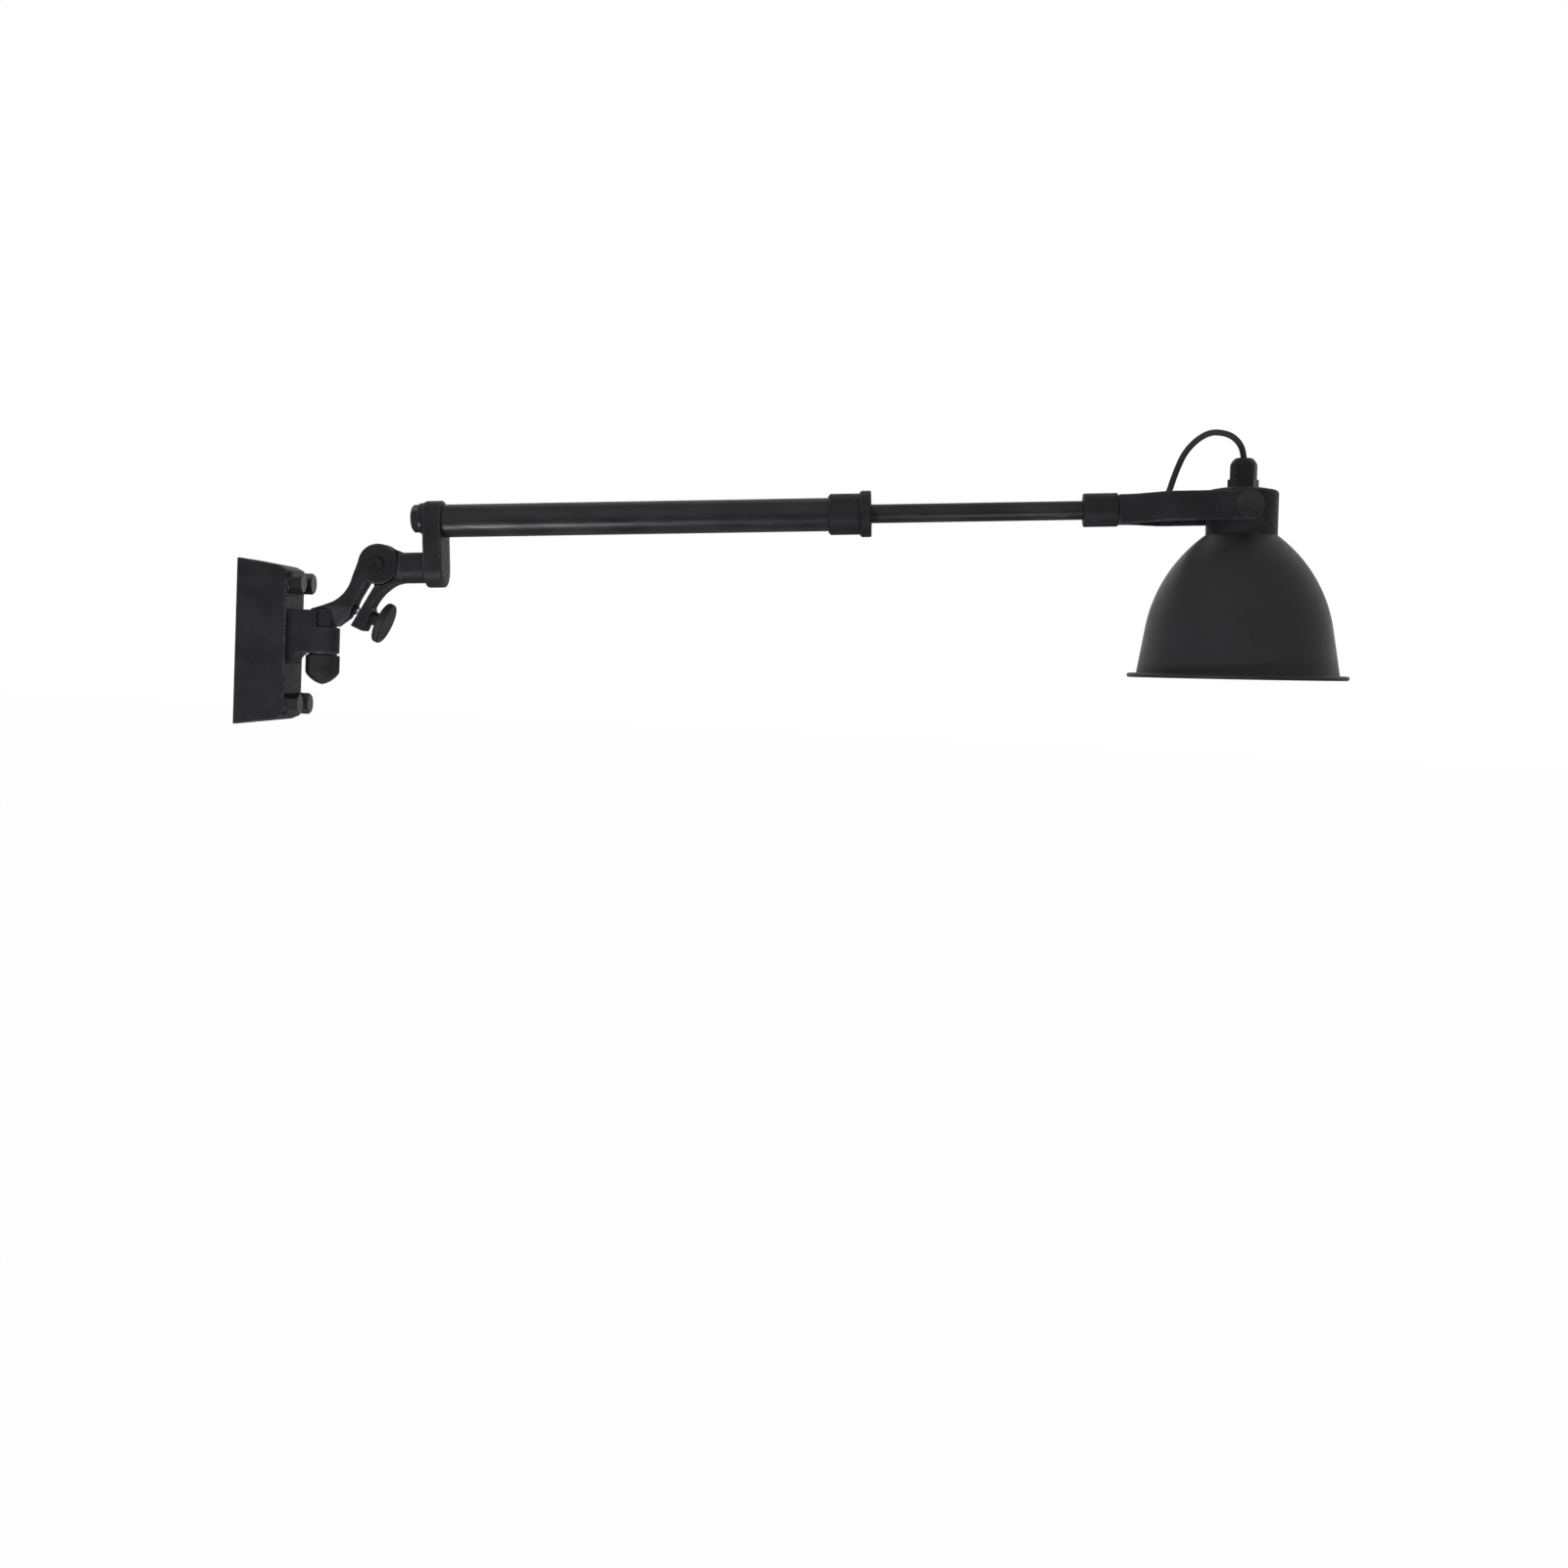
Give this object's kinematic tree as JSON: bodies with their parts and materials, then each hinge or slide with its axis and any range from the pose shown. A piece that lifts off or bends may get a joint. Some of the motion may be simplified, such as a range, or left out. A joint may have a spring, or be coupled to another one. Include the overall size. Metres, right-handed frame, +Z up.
{
  "type": "articulating wall lamp",
  "caption": "Wall lamp on a swivelling, tilting and telescoping arm, with a domed metal shade held in a fork and a loop of cable at its gland.",
  "frame": {"origin": "middle of the base's back, on the wall", "axes": "+X away from the wall along the arm swung straight out, +Z up"},
  "size_m": [1.0028, 0.1944, 0.3051],
  "materials": {
    "powder_black": "satin black powder coat on castings",
    "tube_black": "satin black paint on tube, rod and bolts",
    "shade_black": "matt black paint on spun aluminium",
    "zinc_steel": "zinc plated",
    "brass": "plain",
    "bulb_metal": "plain",
    "black_plastic": "matt",
    "white_plastic": "matt",
    "rubber": "matt",
    "porcelain": "glazed",
    "opal_glass": "frosted",
    "braid": "black textile braid over the cable"
  },
  "bodies": {
    "wall_base": {"wall_plate": "zinc_steel", "plate_posts": "zinc_steel", "supply_grommet": "rubber", "terminal_block": "white_plastic", "terminal_screws": "brass", "earth_screw": "brass", "wall_box": "powder_black", "box_bolts": "tube_black", "box_washers": "tube_black", "swivel_bracket": "powder_black", "bracket_screws": "zinc_steel", "swivel_bushes": "brass", "hub_washer": "tube_black"},
    "lower_arm": {"lower_arm": "powder_black", "swivel_stud": "zinc_steel", "stud_washer": "tube_black", "cap_nut": "tube_black", "elbow_bolt": "tube_black", "elbow_nut": "tube_black", "elbow_washers": "black_plastic"},
    "long_arm": {"knuckle": "powder_black", "elbow_bush": "brass", "tube_bolt": "tube_black", "tube_bolt_washer": "tube_black", "tube_plug": "zinc_steel", "outer_tube": "tube_black", "collar_sleeve": "powder_black", "front_bush": "black_plastic", "stop_washer": "tube_black", "stop_locknut": "tube_black"},
    "thumb_pad": {"thumb_pad": "tube_black"},
    "thumbscrew": {"thumb_stem": "zinc_steel", "thumb_knob": "powder_black"},
    "clamp_olive": {"clamp_olive": "brass"},
    "clamp_ring": {"clamp_ring": "powder_black"},
    "rod_carriage": {"rod_guide": "black_plastic"},
    "rod_head": {"inner_rod": "tube_black", "guide_clips": "zinc_steel", "fork_socket": "powder_black", "fork": "powder_black", "mouth_grommet": "rubber"},
    "shade_head": {"shade_cap": "powder_black", "pivot_screws": "tube_black", "pivot_washers": "black_plastic", "shade": "shade_black", "shade_screws": "zinc_steel", "lampholder": "porcelain", "holder_nipple": "brass", "holder_nut": "brass", "bulb_cap": "bulb_metal", "bulb_glass": "opal_glass", "gland_body": "black_plastic", "gland_nut": "black_plastic", "gland_seal": "rubber", "gland_locknut": "black_plastic", "cable_loop": "braid"}
  },
  "joints": [
    {"name": "base_swivel", "type": "hinge", "parent": "wall_base", "child": "lower_arm", "pos_m": [0.0725, 0, 0], "axis": [0, 0, 1], "range_deg": [-55, 55]},
    {"name": "elbow_tilt", "type": "hinge", "parent": "lower_arm", "child": "long_arm", "pos_m": [0.1238, 0, 0.076], "axis": [0, -1, 0], "range_deg": [0, 60]},
    {"name": "thumb_advance", "type": "slide", "parent": "long_arm", "child": "thumb_pad", "axis": [0.9239, 0, -0.3827], "range_m": [0, 0.0034]},
    {"name": "thumb_turn", "type": "hinge", "parent": "thumb_pad", "child": "thumbscrew", "pos_m": [0.1012, 0, 0.03399], "axis": [0.9239, 0, -0.3827], "range_deg": [0, 1225]},
    {"name": "clamp_advance", "type": "slide", "parent": "long_arm", "child": "clamp_olive", "axis": [0.9982, 0, 0.0593], "range_m": [0, 0.0005]},
    {"name": "clamp_turn", "type": "hinge", "parent": "clamp_olive", "child": "clamp_ring", "pos_m": [0.1215, 0, 0.11473], "axis": [0.9982, 0, 0.0593], "range_deg": [0, 121]},
    {"name": "rod_slide", "type": "slide", "parent": "long_arm", "child": "rod_carriage", "axis": [0.9982, 0, 0.0593], "range_m": [-0.188, 0.089]},
    {"name": "rod_twist", "type": "hinge", "parent": "rod_carriage", "child": "rod_head", "pos_m": [0.1215, 0, 0.11473], "axis": [0.9982, 0, 0.0593], "range_deg": [-90, 90]},
    {"name": "shade_tilt", "type": "hinge", "parent": "rod_head", "child": "shade_head", "pos_m": [0.90122, 0, 0.16106], "axis": [0, -1, 0], "range_deg": [-30, 80], "deforming": ["cable_loop"]}
  ],
  "couplings": [
    {"joint": "thumb_turn", "follows": "thumb_advance", "rad_per_m": 6283.2},
    {"joint": "clamp_turn", "follows": "clamp_advance", "rad_per_m": 4188.8}
  ]
}
